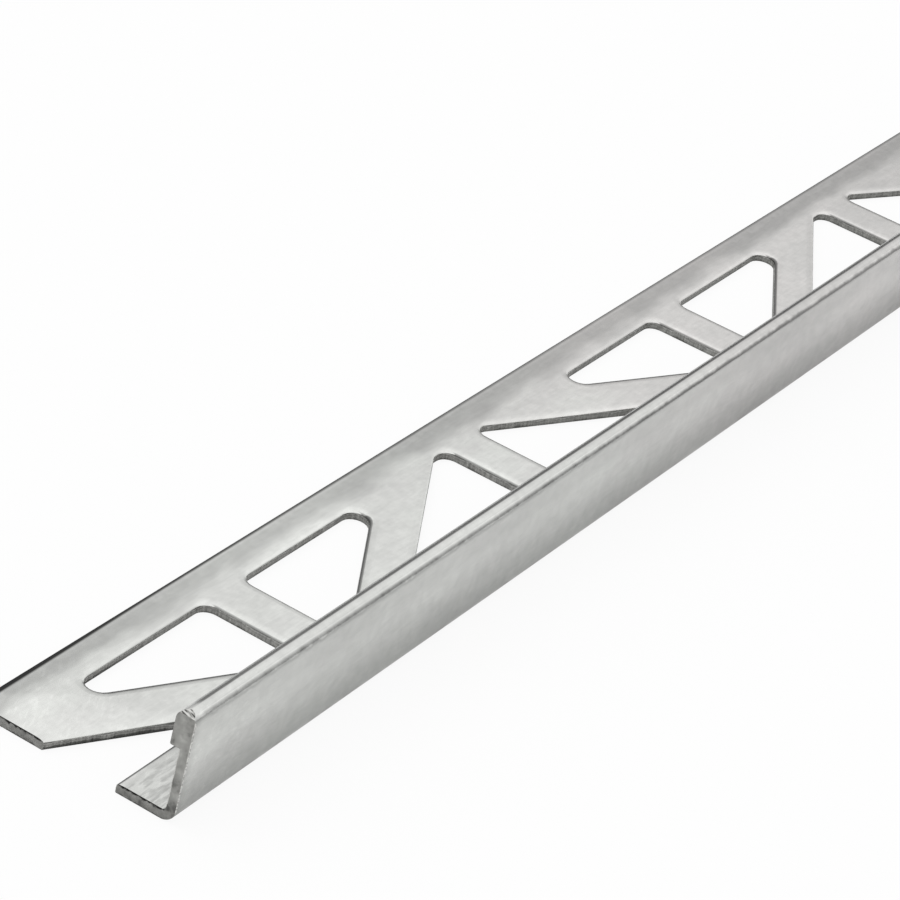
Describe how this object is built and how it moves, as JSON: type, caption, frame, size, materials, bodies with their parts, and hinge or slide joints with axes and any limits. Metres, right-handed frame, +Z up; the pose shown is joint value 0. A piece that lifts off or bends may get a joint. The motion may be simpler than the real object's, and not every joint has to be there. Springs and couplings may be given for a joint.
{
  "type": "tile edge trim",
  "caption": "Folded stainless strip for the edge of tiling: a leg pierced with triangular holes lies under the tile, and a low wall with a hemmed, rounded rim finishes the edge",
  "frame": {"origin": "centre of the strip's length and of the leg's width, on the plane of the leg's underside", "axes": "+X along the strip away from the end that the picture shows cut, +Y from the wall's outer face to the leg's back edge, +Z up from the floor"},
  "size_m": [1, 0.021, 0.011],
  "materials": {
    "stainless_steel": "satin mill finish with sawn ends"
  },
  "bodies": {
    "root": {"edge_trim": "stainless_steel"}
  },
  "joints": []
}
